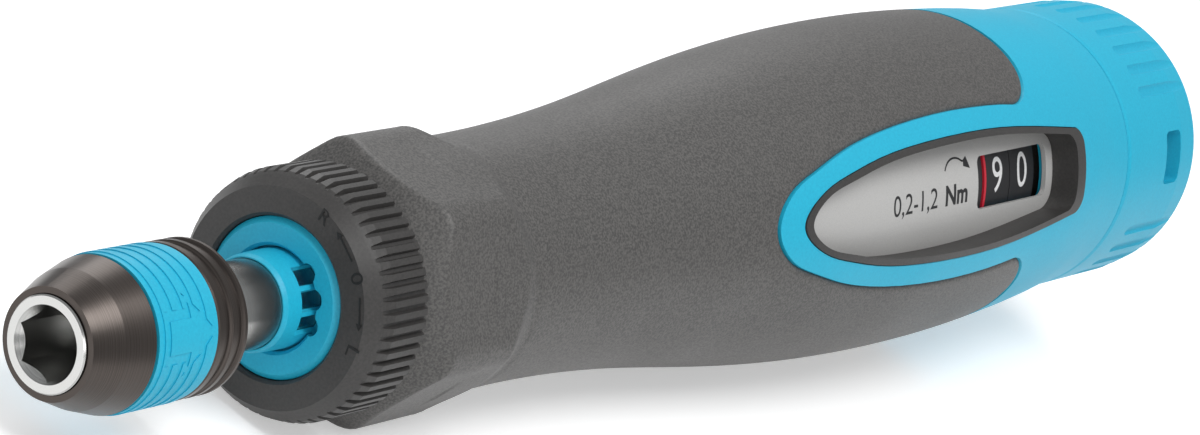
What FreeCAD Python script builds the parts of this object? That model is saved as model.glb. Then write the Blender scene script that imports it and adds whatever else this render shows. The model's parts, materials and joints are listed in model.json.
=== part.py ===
import FreeCAD, Part
import math
import os

# Torque screwdriver with a quick-change bit chuck, a reversible ratchet head,
# a slipping ball clutch and a counter that shows the torque setting.
#
# Every piece is first modelled in the tool's own frame: +X runs along the tool axis from
# the chuck to the cap, +Z is up and the counter window faces -Y. Angles named "phi" are
# measured about +X from +Z towards -Y. At the end the whole tool is laid down the way it
# rests on a table. Lengths are in millimetres.

# ---- chuck -----------------------------------------------------------------------------------
HEX_FLATS = 6.35            # across flats of the bit socket (1/4 inch)
SOCKET_DEPTH = 13.0
COUNTERSINK = 0.55
SPINDLE_FLANGE_R = 4.84     # bright ring at the mouth
SPINDLE_FLANGE_LEN = 2.4
NECK_R = 4.62
SLEEVE_FRONT_X = 0.36
NOSE_FACE_R = 5.57
NOSE_BACK_R = 7.80
BAND_FRONT_X = 7.35
BAND_REAR_X = 16.4
BAND_R = 7.98
BAND_THICK = 0.85
BAND_RIBS = 5
BAND_RIB_PITCH = 1.6
BAND_RIB_DEPTH = 0.12
SLEEVE_REAR_X = 21.7
SLEEVE_R = 7.90
SLEEVE_TRAVEL = 2.5
SLEEVE_BORE_GAP = 0.08
SPRING_CHAMBER_R = 6.35
SPRING_CHAMBER_X = 9.6
CHUCK_WIRE_R = 0.32
CHUCK_COILS = 4
CLIP_X = 18.7
CLIP_THICK = 0.9
BALL_R = 1.25
BALL_X = 7.5
BALL_PHI = 60.0
BALL_LIFT = 0.9

# ---- ratchet head ----------------------------------------------------------------------------
HUB_COLLAR_X = 30.8
HUB_COLLAR_R = 5.15
HUB_FACE_X = 35.0
HUB_R = 8.35
HUB_HOLE_R = 5.42
HUB_POCKET_R = 1.10
HUB_POCKET_PITCH_R = 5.30
HUB_POCKET_STEP = 29.5
HUB_POCKET_PHI = 87.0
HUB_POCKET_DEPTH = 2.2
RING_REAR_X = 44.08
RING_FACE_R = 11.5
RING_EDGE_R = 12.84
RING_EDGE_X = 37.0
RING_R = 13.20
RING_TURN = 30.0            # from R through 0 to L
KNURLS = 60
KNURL_DEPTH = 0.55
KNURL_PHASE = 3.0
RATCHET_TEETH = 24
TOOTH_DEPTH = 0.55
RATCHET_X = 38.6
RATCHET_LEN = 4.6
PAWL_PIVOT_Y = 5.7
PAWL_PIVOT_Z = 2.6
PAWL_EYE_R = 1.15
PAWL_PIN_R = 0.60
PAWL_LIFT = 14.0
PAWL_ROOM = 0.3
REAR_PIN_R = 3.0
REAR_CLIP_X = 50.7
REAR_CLIP_LEN = 0.7

# ---- grip ------------------------------------------------------------------------------------
COLLAR_FRONT_X = 44.35
COLLAR_FLATS = 27.5         # across flats of the hexagon
COLLAR_CORNER_R = 3.7
COLLAR_EDGE_X = 46.44       # where the front cone meets the middle of a flat
COLLAR_END_X = 61.4         # where the rear cone meets the middle of a flat
COLLAR_FRONT_SLOPE = 1.11
COLLAR_REAR_SLOPE = 0.62
COLLAR_CROWN = 0.06
WAIST_X = 66.0
WAIST_R = 13.65
# radius of the grip along the tool, from the waist over the belly to the cap
GRIP_STATIONS = (
    (WAIST_X, WAIST_R),
    (79.0, 14.03),
    (95.0, 15.40),
    (111.0, 17.46),
    (127.0, 19.13),
    (151.0, 20.12),
    (167.0, 19.78),
    (183.0, 18.70),
    (190.65, 18.14),
)
BODY_REAR_X = GRIP_STATIONS[-1][0]
COVER_REAR_X = 167.5
COVER_THICK = 2.0
COVER_SEAM = 0.12
SKIN_GAP = 0.05
# half width of the bare blue field around the window, from its point to the cover's rear edge
FIELD_TIP_X = 106.8
FIELD_STATIONS = (
    (109.5, 3.7),
    (114.0, 5.6),
    (120.0, 7.4),
    (128.0, 8.9),
    (138.0, 9.8),
    (147.0, 10.05),
    (155.0, 9.85),
    (161.0, 9.4),
)
FIELD_CORNER_R = 6.5

# ---- window and counter ----------------------------------------------------------------------
WINDOW_TIP_X = 111.3
WINDOW_STATIONS = (
    (115.0, 3.3),
    (120.0, 4.85),
    (127.0, 6.2),
    (135.0, 7.0),
    (145.0, 7.35),
    (155.0, 7.2),
    (166.0, 6.3),
    (176.0, 5.2),
)
WINDOW_REAR_X = 176.7
WINDOW_CORNER = 2.2
BEZEL_RIM = 0.8
BEZEL_REAR_RIM = 2.4
BEZEL_PROUD = 0.15
BEZEL_GAP = 0.1
PLATE_R = 15.9
PLATE_THICK = 0.6
SLOT_FRONT_X = 155.0
SLOT_REAR_X = 172.6
SLOT_TOP = 3.5
SLOT_BOTTOM = 3.0
SLOT_CORNER_R = 1.0
DRUM_R = 14.5
DRUM_RIM = 2.0
DRUM_WEB = 1.6
DRUM_HUB_R = 6.5
DRUM_FRONT_X = 152.4
DRUM_LEN = 6.2
DRUM_SPACE = 0.15
COMMA_RING_LEN = 0.5
DRUM_BORE_R = 14.75

# ---- clutch and setting gear -----------------------------------------------------------------
JOURNAL_R = 8.30
JOURNAL_REAR_X = 52.2
LIP_REAR_X = 51.9
CHAMBER_R = 9.30
CLUTCH_R = 9.15
CLUTCH_LEN = 5.0
CLUTCH_BALLS = 12
CLUTCH_BALL_R = 1.2
CLUTCH_BALL_PITCH_R = 6.6
CLUTCH_GAP = 0.4
FOLLOWER_LEN = 4.0
FOLLOWER_LIFT = 0.9
KEY_WIDTH = 2.4
KEY_HEIGHT = 1.0
WASHER_LEN = 1.2
TORQUE_WIRE_R = 1.15
TORQUE_COIL_R = 6.9
TORQUE_COILS = 8
NUT_X = 98.0
NUT_LEN = 9.0
SCREW_PITCH = 1.25
TURNS_DOWN = 7
TURNS_UP = 3
SCREW_R = 4.0
SCREW_FRONT_X = 93.0
SCREW_FLANGE_R = 8.0
SCREW_FLANGE_X = 173.4
SCREW_FLANGE_LEN = 1.8
REAR_JOURNAL_R = 4.5
DRIVE_FLATS = 7.5
RUNNING_GAP = 0.05

# ---- cap -------------------------------------------------------------------------------------
CAP_GAP = 0.3
CAP_REAR_X = 211.4
CAP_FRONT_R = 18.16
CAP_REAR_R = 17.80
CAP_WALL = 2.8
CAP_END = 3.2
CAP_EDGE = 0.9
CAP_TRAVEL = 3.0
CAP_BOSS_R = 7.2
FLUTE_STEP = 10.0
FLUTE_PHI = 5.0
FLUTE_R = 0.9
FLUTE_DEPTH = 0.45
FLUTE_FRONT_X = 197.8
BARE_SECTOR = (70.0, 120.0)
CAP_WINDOW_X = (202.0, 206.0)
CAP_WINDOW_PHI = (83.0, 105.0)
SLEEVE_TUBE_R = 15.0
SLEEVE_TUBE_WALL = 1.0
SLEEVE_WEB = 1.4

# ---- the resting place -----------------------------------------------------------------------
REST_ROLL = -30.0           # turns one flat of the hexagon down and the window up

V = FreeCAD.Vector
ORIGIN = V(0, 0, 0)
AXIS = V(1, 0, 0)
SQRT3 = math.sqrt(3.0)

SLEEVE_BORE_R = NECK_R + SLEEVE_BORE_GAP
CLUTCH_FRONT_X = JOURNAL_REAR_X
CLUTCH_REAR_X = CLUTCH_FRONT_X + CLUTCH_LEN
FOLLOWER_X = CLUTCH_REAR_X + CLUTCH_GAP
WASHER_X = FOLLOWER_X + FOLLOWER_LEN + 0.02
SPRING_X = WASHER_X + WASHER_LEN
BUSH_FRONT_X = SCREW_FLANGE_X + SCREW_FLANGE_LEN + 0.1
BUSH_REAR_X = BODY_REAR_X - 0.4
CORE_FRONT_X = COLLAR_FRONT_X + 1.15
CAP_FRONT_X = BODY_REAR_X + CAP_GAP
CAP_BORE_R = CAP_FRONT_R - CAP_WALL
CAP_FLOOR_X = CAP_REAR_X - CAP_END
PLATE_SEAT_R = PLATE_R - PLATE_THICK


# ---- shape helpers ---------------------------------------------------------------------------
def turned(points):
    """Solid of revolution about the tool axis from a closed outline of (x, r) corners."""
    wire = Part.makePolygon([V(x, 0, r) for x, r in points + [points[0]]])
    return Part.Face(wire).revolve(ORIGIN, AXIS, 360)


def tube(x0, x1, r_out, r_in):
    """Plain ring between two stations of the tool axis."""
    return turned([(x0, r_in), (x1, r_in), (x1, r_out), (x0, r_out)])


def rod(x0, x1, radius):
    """Plain round bar on the tool axis."""
    return Part.makeCylinder(radius, x1 - x0, V(x0, 0, 0), AXIS)


def hex_bar(x0, x1, flats, first_flat=30.0):
    """Hexagonal bar on the tool axis with one flat facing the angle first_flat."""
    reach = flats / SQRT3
    corners = [at_phi(x0, reach, first_flat + 30.0 + 60.0 * k) for k in range(7)]
    return Part.Face(Part.makePolygon(corners)).extrude(V(x1 - x0, 0, 0))


def at_phi(x, radius, phi):
    """Point at a radius and an angle about the tool axis."""
    angle = math.radians(phi)
    return V(x, -radius * math.sin(angle), radius * math.cos(angle))


def about_axis(shape, phi):
    """Copy of a shape turned about the tool axis by an angle phi."""
    copy = shape.copy()
    copy.rotate(ORIGIN, AXIS, phi)
    return copy


def joined(shapes):
    """One solid from several overlapping ones."""
    first, rest = shapes[0], shapes[1:]
    return first.fuse(rest).removeSplitter() if rest else first


def curve(points, start=None, end=None):
    """Smooth edge through points, with optional end tangents."""
    spline = Part.BSplineCurve()
    if start is None:
        spline.interpolate(points)
    else:
        spline.interpolate(Points=points, InitialTangent=start, FinalTangent=end)
    return spline.toShape()


def bulged(start, end, rise):
    """Arc between two points of an outline, raised outwards in its middle."""
    across = (end - start).normalize()
    middle = (start + end) * 0.5 + V(-across.z, 0, across.x) * rise
    return Part.Arc(start, middle, end).toShape()


def coil(x0, x1, turns, radius, wire_r):
    """Open coil spring of round wire, its ends lying between two stations."""
    pitch = (x1 - x0 - 2 * wire_r) / turns
    helix = Part.makeLongHelix(pitch, pitch * turns, radius)
    start = helix.Edges[0].Vertexes[0].Point
    section = Part.Wire(Part.makeCircle(wire_r, start, V(0, 1, 0)))
    spring = Part.Wire(helix.Edges).makePipeShell([section], True, True)
    spring.rotate(ORIGIN, V(0, 1, 0), 90)
    spring.translate(V(x0 + wire_r, 0, 0))
    return spring


# ---- grip surface ----------------------------------------------------------------------------
def grip_edge(inset=0.0):
    """Long outline of the grip, set in from the surface by a distance."""
    points = [V(x, 0, r - inset) for x, r in GRIP_STATIONS]
    return curve(points, V(1, 0, 0), V(1, 0, -0.02))


def grip_blank(inset=0.0, front=COLLAR_EDGE_X + 1.0):
    """Solid body of the grip from inside the collar to the cap."""
    edge = grip_edge(inset)
    first = edge.valueAt(edge.FirstParameter)
    last = edge.valueAt(edge.LastParameter)
    sides = [
        Part.makeLine(V(front, 0, 0), V(front, 0, first.z)),
        Part.makeLine(V(front, 0, first.z), first),
        edge,
        Part.makeLine(last, V(last.x, 0, 0)),
        Part.makeLine(V(last.x, 0, 0), V(front, 0, 0)),
    ]
    return Part.Face(Part.Wire(sides)).revolve(ORIGIN, AXIS, 360)


def collar_blank():
    """Hexagonal collar with rounded corners and a cone at each end."""
    flat_r = COLLAR_FLATS / 2.0
    top_r = COLLAR_FLATS / SQRT3
    front_r = flat_r - COLLAR_FRONT_SLOPE * (COLLAR_EDGE_X - COLLAR_FRONT_X)
    front_top_x = COLLAR_EDGE_X + (top_r - flat_r) / COLLAR_FRONT_SLOPE
    rear_top_x = COLLAR_END_X - (top_r - flat_r) / COLLAR_REAR_SLOPE
    rear_x = COLLAR_END_X + 2.0
    rear_r = flat_r - COLLAR_REAR_SLOPE * 2.0
    outline = [
        Part.makeLine(V(COLLAR_FRONT_X, 0, 0), V(COLLAR_FRONT_X, 0, front_r)),
        bulged(V(COLLAR_FRONT_X, 0, front_r), V(front_top_x, 0, top_r), COLLAR_CROWN),
        Part.makeLine(V(front_top_x, 0, top_r), V(rear_top_x, 0, top_r)),
        bulged(V(rear_top_x, 0, top_r), V(rear_x, 0, rear_r), COLLAR_CROWN),
        Part.makeLine(V(rear_x, 0, rear_r), V(rear_x, 0, 0)),
        Part.makeLine(V(rear_x, 0, 0), V(COLLAR_FRONT_X, 0, 0)),
    ]
    cones = Part.Face(Part.Wire(outline)).revolve(ORIGIN, AXIS, 360)
    prism = hex_bar(COLLAR_FRONT_X, rear_x, COLLAR_FLATS)
    long_edges = [e for e in prism.Edges if abs(e.tangentAt(e.FirstParameter).x) > 0.9]
    prism = prism.makeFillet(COLLAR_CORNER_R, long_edges)
    return prism.common(cones)


def field_prism(grow=0.0):
    """Column through the window side: the bare field and everything behind the cover."""
    tip = V(FIELD_TIP_X - grow, 0, 0)
    upper = [V(x, 0, z + grow) for x, z in FIELD_STATIONS]
    lower = [V(p.x, 0, -p.z) for p in reversed(upper)]
    last = upper[-1]
    side = curve(lower + [tip] + upper, V(-1, 0, -0.1), V(1, 0, -0.1))
    rear = COVER_REAR_X - grow
    corner = V(rear, 0, last.z + FIELD_CORNER_R)
    half = FIELD_CORNER_R * (1.0 - math.sqrt(0.5))
    middle = V(rear - half, 0, last.z + half)
    top = V(rear, 0, 2 * GRIP_STATIONS[5][1])
    far = V(BODY_REAR_X + 5.0, 0, top.z)
    outline = [
        side,
        Part.Arc(last, middle, corner).toShape(),
        Part.makeLine(corner, top),
        Part.makeLine(top, far),
        Part.makeLine(far, V(far.x, 0, -far.z)),
        Part.makeLine(V(far.x, 0, -far.z), V(top.x, 0, -top.z)),
        Part.makeLine(V(top.x, 0, -top.z), V(corner.x, 0, -corner.z)),
        Part.Arc(V(corner.x, 0, -corner.z), V(middle.x, 0, -middle.z), V(last.x, 0, -last.z)).toShape(),
    ]
    return Part.Face(Part.Wire(outline)).extrude(V(0, -2 * top.z, 0))


def window_prism(inset=0.0, rear_inset=None):
    """Egg-shaped column through the window side, set in from the bezel's outer edge."""
    rear = WINDOW_REAR_X - (inset if rear_inset is None else rear_inset)
    tip = V(WINDOW_TIP_X + 1.6 * inset, 0, 0)
    (x0, z0), (x1, z1) = WINDOW_STATIONS[-2:]
    end_x = rear - WINDOW_CORNER
    end_z = z0 + (z1 - z0) * (end_x - x0) / (x1 - x0)
    upper = [V(x, 0, z - inset) for x, z in WINDOW_STATIONS[:-1] + ((end_x, end_z),)]
    lower = [V(p.x, 0, -p.z) for p in reversed(upper)]
    last = upper[-1]
    corner = V(rear, 0, last.z - WINDOW_CORNER)
    bulge = WINDOW_CORNER * math.sqrt(0.5)
    middle = V(end_x + bulge, 0, corner.z + bulge)
    side = curve(lower + [tip] + upper, V(-1, 0, -0.11), V(1, 0, -0.11))
    outline = [
        side,
        Part.Arc(last, middle, corner).toShape(),
        Part.makeLine(corner, V(corner.x, 0, -corner.z)),
        Part.Arc(V(corner.x, 0, -corner.z), V(middle.x, 0, -middle.z), V(last.x, 0, -last.z)).toShape(),
    ]
    return Part.Face(Part.Wire(outline)).extrude(V(0, -2 * PLATE_R, 0))


def slot_prism(grow=0.0):
    """Rounded slot through the scale plate over the counter."""
    length = SLOT_REAR_X - SLOT_FRONT_X + 2 * grow
    height = SLOT_TOP + SLOT_BOTTOM + 2 * grow
    corner = V(SLOT_FRONT_X - grow, -2 * PLATE_R, -SLOT_BOTTOM - grow)
    block = Part.makeBox(length, 2 * PLATE_R - DRUM_R / 2, height, corner)
    long_edges = [e for e in block.Edges if abs(e.tangentAt(e.FirstParameter).y) > 0.9]
    return block.makeFillet(SLOT_CORNER_R, long_edges)


# ---- chuck -----------------------------------------------------------------------------------
def drive_spindle():
    """Hardened spindle: bit socket, ball hole, neck, ratchet teeth and rear journal."""
    ratchet_end = RATCHET_X + RATCHET_LEN
    body = turned([
        (0.0, 0.0),
        (0.0, SPINDLE_FLANGE_R - 0.15),
        (0.15, SPINDLE_FLANGE_R),
        (SPINDLE_FLANGE_LEN, SPINDLE_FLANGE_R),
        (SPINDLE_FLANGE_LEN, NECK_R),
        (CLIP_X, NECK_R),
        (CLIP_X, NECK_R - 0.5),
        (CLIP_X + CLIP_THICK, NECK_R - 0.5),
        (CLIP_X + CLIP_THICK, NECK_R),
        (ratchet_end, NECK_R),
        (ratchet_end, REAR_PIN_R),
        (REAR_CLIP_X, REAR_PIN_R),
        (REAR_CLIP_X, REAR_PIN_R - 0.4),
        (REAR_CLIP_X + REAR_CLIP_LEN, REAR_PIN_R - 0.4),
        (REAR_CLIP_X + REAR_CLIP_LEN, REAR_PIN_R),
        (LIP_REAR_X, REAR_PIN_R),
        (LIP_REAR_X, 0.0),
    ])
    socket = hex_bar(0.0, SOCKET_DEPTH, HEX_FLATS)
    drill_point = turned([(SOCKET_DEPTH, 0), (SOCKET_DEPTH, HEX_FLATS / 2), (SOCKET_DEPTH + 1.6, 0)])
    mouth_r = HEX_FLATS / SQRT3 + 0.2
    mouth_floor = 2 * COUNTERSINK
    mouth = turned([(0, 0), (0, mouth_r), (mouth_floor, mouth_r - 0.8 * mouth_floor), (mouth_floor, 0)])
    hole = Part.makeCylinder(BALL_R + RUNNING_GAP, NECK_R + 1, V(BALL_X, 0, 0), at_phi(0, 1, BALL_PHI))
    body = body.cut([socket, drill_point, mouth, hole])
    return body.cut(ratchet_spaces())


def ratchet_spaces():
    """Saw-tooth spaces all round the spindle under the pawls."""
    root = NECK_R - TOOTH_DEPTH
    step = 360.0 / RATCHET_TEETH
    spaces = []
    for k in range(RATCHET_TEETH):
        middle = 90.0 + step * k
        corners = [
            at_phi(RATCHET_X, root, middle),
            at_phi(RATCHET_X, NECK_R + 0.4, middle - 0.42 * step),
            at_phi(RATCHET_X, NECK_R + 0.4, middle + 0.42 * step),
        ]
        face = Part.Face(Part.makePolygon(corners + [corners[0]]))
        spaces.append(face.extrude(V(RATCHET_LEN + 0.5, 0, 0)))
    return spaces


def chuck_sleeve():
    """Turned sleeve: nose cone, seat for the band, grooved rear grip and ball ramp."""
    seat_r = BAND_R - BAND_THICK
    groove_w = 0.9
    outer = turned([
        (SLEEVE_FRONT_X, 0),
        (SLEEVE_FRONT_X, NOSE_FACE_R),
        (SLEEVE_FRONT_X + 3.3, NOSE_FACE_R + 1.32),
        (BAND_FRONT_X - 0.35, NOSE_BACK_R),
        (BAND_FRONT_X, NOSE_BACK_R - 0.25),
        (BAND_FRONT_X, seat_r),
        (BAND_REAR_X, seat_r),
        (BAND_REAR_X, SLEEVE_R - 0.2),
        (BAND_REAR_X + 0.25, SLEEVE_R),
        (BAND_REAR_X + 1.0, SLEEVE_R),
        (BAND_REAR_X + 1.2, SLEEVE_R - 0.35),
        (BAND_REAR_X + 1.2 + groove_w, SLEEVE_R - 0.35),
        (BAND_REAR_X + 1.4 + groove_w, SLEEVE_R),
        (BAND_REAR_X + 2.0 + groove_w, SLEEVE_R),
        (BAND_REAR_X + 2.2 + groove_w, SLEEVE_R - 0.35),
        (BAND_REAR_X + 2.2 + 2 * groove_w, SLEEVE_R - 0.35),
        (BAND_REAR_X + 2.4 + 2 * groove_w, SLEEVE_R),
        (SLEEVE_REAR_X - 0.7, SLEEVE_R),
        (SLEEVE_REAR_X, SLEEVE_R - 0.55),
        (SLEEVE_REAR_X, 0),
    ])
    land = SLEEVE_BORE_R
    ramp_x = BALL_X + 0.45
    ramp_top = land + BALL_LIFT + 0.2
    groove_front = BALL_X - SLEEVE_TRAVEL - BALL_R - 0.1
    bore = turned([
        (0.0, 0.0),
        (0.0, SPINDLE_FLANGE_R + SLEEVE_BORE_GAP),
        (SPINDLE_FLANGE_LEN + 0.1, SPINDLE_FLANGE_R + SLEEVE_BORE_GAP),
        (SPINDLE_FLANGE_LEN + 0.1, land),
        (groove_front, land),
        (groove_front, ramp_top),
        (BALL_X - SLEEVE_TRAVEL, ramp_top),
        (ramp_x, land),
        (SPRING_CHAMBER_X, land),
        (SPRING_CHAMBER_X, SPRING_CHAMBER_R),
        (SLEEVE_REAR_X + 1, SPRING_CHAMBER_R),
        (SLEEVE_REAR_X + 1, 0.0),
    ])
    return outer.cut(bore)


def chuck_band():
    """Coloured band snapped round the sleeve, with fine ribs and a raised arrow."""
    inner = BAND_R - BAND_THICK + 0.02
    low = BAND_R - BAND_RIB_DEPTH
    front = BAND_FRONT_X + 0.05
    rear = BAND_REAR_X - 0.05
    outline = [(front, inner), (front, low)]
    for k in range(BAND_RIBS):
        x = front + 0.5 * BAND_RIB_PITCH + BAND_RIB_PITCH * k
        outline += [(x, low), (x, BAND_R), (x + 0.5 * BAND_RIB_PITCH, BAND_R), (x + 0.5 * BAND_RIB_PITCH, low)]
    ring = turned(outline + [(rear, low), (rear, inner)])
    face = tube(front - 1, rear + 1, BAND_R + 1, low)
    clear = arrow_block(1.0).common(face)
    arrow = arrow_block(0.0).common(tube(front, rear, BAND_R, inner + 0.3))
    ribbed = ring.cut([clear, about_axis(clear, 180.0)])
    return joined([ribbed, arrow, about_axis(arrow, 180.0)])


def arrow_block(grow):
    """Arrow that points to the grip, standing off the window side of the band."""
    tip = BAND_REAR_X - 1.1 + 0.6 * grow
    head = BAND_REAR_X - 4.1 - 0.5 * grow
    tail = BAND_FRONT_X + 1.75 - 0.6 * grow
    wing = 3.1 + grow
    stem = 1.65 + grow
    half = [(tip, 0), (head, wing), (head, stem), (tail, stem)]
    points = half + [(x, -z) for x, z in reversed(half)]
    face = Part.Face(Part.makePolygon([V(x, 0, z) for x, z in points]))
    return face.extrude(V(0, -2 * BAND_R, 0))


def spring_clip():
    """Snap ring in the spindle's groove that backs up the sleeve spring."""
    ring = tube(CLIP_X + 0.02, CLIP_X + CLIP_THICK - 0.02, SPRING_CHAMBER_R - 0.15, NECK_R - 0.48)
    slot = Part.makeBox(CLIP_THICK, 3.0, 2 * SPRING_CHAMBER_R, V(CLIP_X, -1.5, -3 * SPRING_CHAMBER_R + 2))
    return ring.cut(slot)


def sleeve_spring():
    """Coil spring that pushes the sleeve to the front."""
    middle = (NECK_R + SPRING_CHAMBER_R) / 2
    return coil(SPRING_CHAMBER_X + 0.1, CLIP_X - 0.05, CHUCK_COILS, middle, CHUCK_WIRE_R)


def detent_ball():
    """Steel ball that the sleeve presses into the bit's notch."""
    centre_r = NECK_R + RUNNING_GAP - BALL_R
    return Part.makeSphere(BALL_R, at_phi(BALL_X, centre_r, BALL_PHI))


# ---- ratchet head ----------------------------------------------------------------------------
def hub_ring():
    """Front cap of the ratchet: a collar round the neck and a ring, joined behind a groove."""
    rear = RATCHET_X - 0.6
    hole = NECK_R + RUNNING_GAP
    body = turned([
        (HUB_COLLAR_X, hole),
        (HUB_COLLAR_X, HUB_COLLAR_R - 0.35),
        (HUB_COLLAR_X + 0.5, HUB_COLLAR_R - 0.1),
        (HUB_COLLAR_X + 2.9, HUB_COLLAR_R),
        (HUB_FACE_X + HUB_POCKET_DEPTH - 0.6, HUB_COLLAR_R),
        (HUB_FACE_X + HUB_POCKET_DEPTH - 0.6, HUB_HOLE_R),
        (HUB_FACE_X + 0.35, HUB_HOLE_R),
        (HUB_FACE_X, HUB_HOLE_R + 0.35),
        (HUB_FACE_X, HUB_R - 0.6),
        (HUB_FACE_X + 0.6, HUB_R),
        (rear, HUB_R),
        (rear, hole),
    ])
    pockets = []
    for side in (0.0, 180.0):
        for k in (-1, 0, 1):
            place = at_phi(HUB_FACE_X - 1.6, HUB_POCKET_PITCH_R, HUB_POCKET_PHI + side + k * HUB_POCKET_STEP)
            pockets.append(Part.makeCylinder(HUB_POCKET_R, HUB_POCKET_DEPTH + 1.6, place, AXIS))
    return body.cut(pockets)


def ratchet_housing():
    """Carrier that holds the pawls round the spindle and is driven by the clutch."""
    front = RATCHET_X - 0.6
    step = RATCHET_X + RATCHET_LEN + 0.3
    body = turned([
        (front, NECK_R + RUNNING_GAP),
        (step, NECK_R + RUNNING_GAP),
        (step, REAR_PIN_R + RUNNING_GAP),
        (REAR_CLIP_X - 0.1, REAR_PIN_R + RUNNING_GAP),
        (REAR_CLIP_X - 0.1, REAR_PIN_R + 1.7),
        (JOURNAL_REAR_X, REAR_PIN_R + 1.7),
        (JOURNAL_REAR_X, JOURNAL_R),
        (front, JOURNAL_R),
    ])
    pockets = [pawl_pocket(), half_turn(pawl_pocket())]
    return body.cut(pockets + pawl_pins(0.02).Solids)


def half_turn(shape):
    """Copy turned half a turn about the vertical line through the middle of the ratchet."""
    copy = shape.copy()
    copy.rotate(V(RATCHET_X + RATCHET_LEN / 2, 0, 0), V(0, 0, 1), 180)
    return copy


def pawl_pocket():
    """Room for one pawl in the wall of the housing."""
    x0 = RATCHET_X + PAWL_ROOM
    box = Part.makeBox(RATCHET_LEN - 2 * PAWL_ROOM, JOURNAL_R, 5.8, V(x0, -JOURNAL_R - 1, -1.6))
    return box.cut(rod(x0 - 1, x0 + RATCHET_LEN, NECK_R - 1))


def pawl():
    """Rocking pawl: an eye on its pin and a nose that drops into a tooth space."""
    x0 = RATCHET_X + PAWL_ROOM + RUNNING_GAP
    length = RATCHET_LEN - 2 * (PAWL_ROOM + RUNNING_GAP)
    nose = NECK_R - TOOTH_DEPTH + 0.1
    eye = Part.makeCylinder(PAWL_EYE_R, length, V(x0, -PAWL_PIVOT_Y, PAWL_PIVOT_Z), AXIS)
    hole = Part.makeCylinder(PAWL_PIN_R + RUNNING_GAP, length, V(x0, -PAWL_PIVOT_Y, PAWL_PIVOT_Z), AXIS)
    corners = [
        V(x0, -nose, 0.0),
        V(x0, -nose - 0.62, -0.34),
        V(x0, -PAWL_PIVOT_Y, -0.55),
        V(x0, -PAWL_PIVOT_Y - 0.9, 1.9),
        V(x0, -PAWL_PIVOT_Y + 0.8, 2.4),
        V(x0, -nose - 0.62, 0.34),
    ]
    arm = Part.Face(Part.makePolygon(corners + [corners[0]])).extrude(V(length, 0, 0))
    return joined([eye, arm]).cut(hole)


def lifted_pawl():
    """The other pawl, on the far side and rocked clear of the teeth."""
    whole = pawl()
    whole.rotate(V(0, -PAWL_PIVOT_Y, PAWL_PIVOT_Z), AXIS, -PAWL_LIFT)
    return half_turn(whole)


def pawl_pins(grow=0.0):
    """Two pins across the pawl pockets."""
    x0 = RATCHET_X + PAWL_ROOM - 0.8
    length = RATCHET_LEN - 2 * PAWL_ROOM + 1.6
    pin = Part.makeCylinder(PAWL_PIN_R + grow, length, V(x0, -PAWL_PIVOT_Y, PAWL_PIVOT_Z), AXIS)
    return Part.makeCompound([pin, half_turn(pin)])


def rear_clip():
    """Snap ring that keeps the spindle in the housing."""
    return tube(REAR_CLIP_X + 0.02, REAR_CLIP_X + REAR_CLIP_LEN - 0.02, REAR_PIN_R + 1.4, REAR_PIN_R - 0.38)


def direction_ring():
    """Knurled ring that sets the ratchet to right, locked or left."""
    bore = HUB_R + 0.1
    blank = turned([
        (HUB_FACE_X + 0.35, bore),
        (HUB_FACE_X, bore + 0.35),
        (HUB_FACE_X + 0.2, RING_FACE_R),
        (RING_EDGE_X - 0.5, RING_EDGE_R - 0.35),
        (RING_EDGE_X, RING_EDGE_R),
        (RING_EDGE_X + 1.2, RING_R),
        (RING_REAR_X - 0.3, RING_R),
        (RING_REAR_X, RING_R - 0.3),
        (RING_REAR_X, bore),
    ])
    return blank.cut(knurl_grooves())


def knurl_grooves():
    """Flat-bottomed grooves along the edge of the direction ring."""
    step = 360.0 / KNURLS
    root = RING_R - KNURL_DEPTH
    top = RING_R + 0.5
    x0 = HUB_FACE_X
    grooves = []
    for k in range(KNURLS):
        middle = KNURL_PHASE + step * k
        corners = [
            at_phi(x0, top, middle - 0.36 * step),
            at_phi(x0, root, middle - 0.14 * step),
            at_phi(x0, root, middle + 0.14 * step),
            at_phi(x0, top, middle + 0.36 * step),
        ]
        face = Part.Face(Part.makePolygon(corners + [corners[0]]))
        grooves.append(face.extrude(V(RING_REAR_X + 1 - x0, 0, 0)))
    return grooves


# ---- clutch and setting gear -----------------------------------------------------------------
def ball_places():
    """Centres of the clutch balls, on the rear face of the driven disc."""
    step = 360.0 / CLUTCH_BALLS
    return [at_phi(CLUTCH_REAR_X, CLUTCH_BALL_PITCH_R, step * k) for k in range(CLUTCH_BALLS)]


def clutch_balls(grow=0.0):
    """Ring of balls between the two clutch discs."""
    return Part.makeCompound([Part.makeSphere(CLUTCH_BALL_R + grow, place) for place in ball_places()])


def clutch_disc():
    """Driven disc on the ratchet housing, with a seat for each ball."""
    disc = tube(CLUTCH_FRONT_X, CLUTCH_REAR_X, CLUTCH_R, 2.0)
    return disc.cut(clutch_balls(RUNNING_GAP).Solids)


def keys(x0, x1, width, reach):
    """Two lugs that slide in the keyways of the handle."""
    bar = Part.makeBox(x1 - x0, width, 2 * reach, V(x0, -width / 2, -reach))
    return bar.common(rod(x0, x1, reach))


def keyed(x0, x1, bore_r):
    """Round sliding piece with two key lugs and a bore."""
    disc = rod(x0, x1, CHAMBER_R - 0.1)
    lugs = keys(x0, x1, KEY_WIDTH, CHAMBER_R + KEY_HEIGHT - 0.1)
    return joined([disc, lugs]).cut(rod(x0 - 1, x1 + 1, bore_r))


def follower_disc():
    """Sprung disc whose pockets hold the balls until the set torque is reached."""
    disc = keyed(FOLLOWER_X, FOLLOWER_X + FOLLOWER_LEN, 3.0)
    return disc.cut(clutch_balls(RUNNING_GAP).Solids)


def thrust_washer():
    """Washer between the follower disc and the torque spring."""
    return tube(WASHER_X, WASHER_X + WASHER_LEN, TORQUE_COIL_R + TORQUE_WIRE_R + 0.6, 3.5)


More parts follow.
